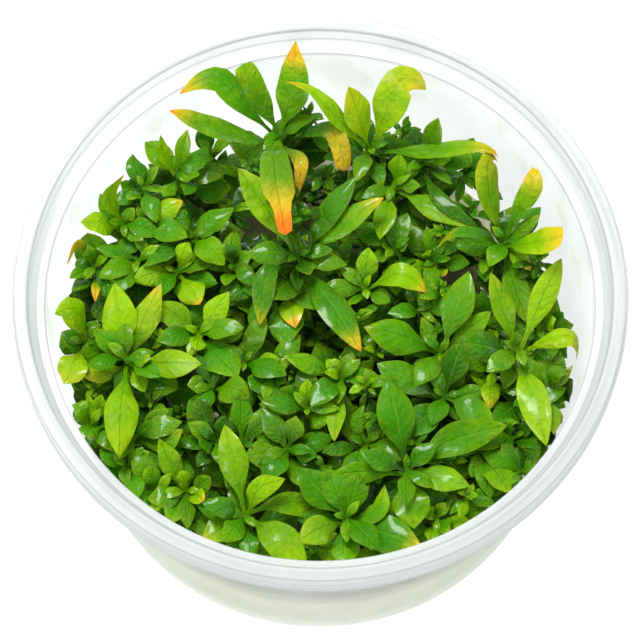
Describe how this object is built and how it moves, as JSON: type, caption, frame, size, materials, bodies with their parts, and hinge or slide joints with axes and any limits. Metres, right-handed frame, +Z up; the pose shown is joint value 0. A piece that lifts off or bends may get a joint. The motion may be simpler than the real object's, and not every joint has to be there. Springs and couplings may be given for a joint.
{
  "type": "cup of tissue-culture aquarium plants",
  "caption": "Round frosted cup without a lid, part filled with agar gel and densely planted with small leafy aquarium plantlets that stand in rosettes below the rim.",
  "frame": {"origin": "middle of the cup's base, on the face it stands on", "axes": "+Z up out of the cup, -Y towards the viewer, +X to the viewer's right"},
  "size_m": [0.1, 0.1, 0.0576],
  "materials": {
    "frosted_plastic": "frosted translucent",
    "agar_gel": "wet, slightly cloudy",
    "leaf_green": "wet leaf"
  },
  "bodies": {
    "root": {"cup": "frosted_plastic", "gel": "agar_gel", "plantlet_middle_crown": "leaf_green", "plantlet_back_middle": "leaf_green", "plantlet_back_right": "leaf_green", "plantlet_right_high": "leaf_green", "plantlet_right": "leaf_green", "plantlet_left": "leaf_green", "plantlet_front_right": "leaf_green", "plantlet_front": "leaf_green", "plantlet_front_left": "leaf_green", "plantlet_right_inner": "leaf_green", "plantlet_right_lower": "leaf_green", "plantlet_middle_left": "leaf_green", "plantlet_middle": "leaf_green", "plantlet_middle_front": "leaf_green", "plantlet_left_inner": "leaf_green", "plantlet_left_back": "leaf_green", "plantlet_back_inner": "leaf_green", "plantlet_back_tall": "leaf_green", "plantlet_left_rear": "leaf_green", "plantlet_back_left": "leaf_green", "plantlet_left_high": "leaf_green", "plantlet_left_shoot": "leaf_green", "plantlet_left_middle": "leaf_green", "plantlet_far_left": "leaf_green", "plantlet_far_left_back": "leaf_green", "plantlet_left_centre": "leaf_green", "plantlet_centre_left": "leaf_green", "plantlet_inner_left": "leaf_green", "plantlet_centre_right": "leaf_green", "plantlet_inner_right": "leaf_green", "plantlet_right_centre": "leaf_green", "plantlet_right_shoot": "leaf_green", "plantlet_far_right": "leaf_green", "plantlet_far_right_front": "leaf_green", "plantlet_right_olive": "leaf_green", "plantlet_right_dark": "leaf_green", "plantlet_lower_right": "leaf_green", "plantlet_right_front_edge": "leaf_green", "plantlet_front_right_low": "leaf_green", "plantlet_front_right_edge": "leaf_green", "plantlet_front_low": "leaf_green", "plantlet_front_low_left": "leaf_green", "plantlet_front_inner": "leaf_green", "plantlet_front_centre": "leaf_green", "plantlet_centre_front": "leaf_green", "plantlet_inner_front": "leaf_green", "plantlet_inner_front_left": "leaf_green", "plantlet_front_left_inner": "leaf_green", "plantlet_left_front_inner": "leaf_green", "plantlet_front_left_shoot": "leaf_green", "plantlet_front_left_low": "leaf_green", "plantlet_left_front_edge": "leaf_green", "plantlet_left_front_low": "leaf_green", "plantlet_left_front": "leaf_green", "plantlet_far_left_front": "leaf_green"}
  },
  "joints": []
}
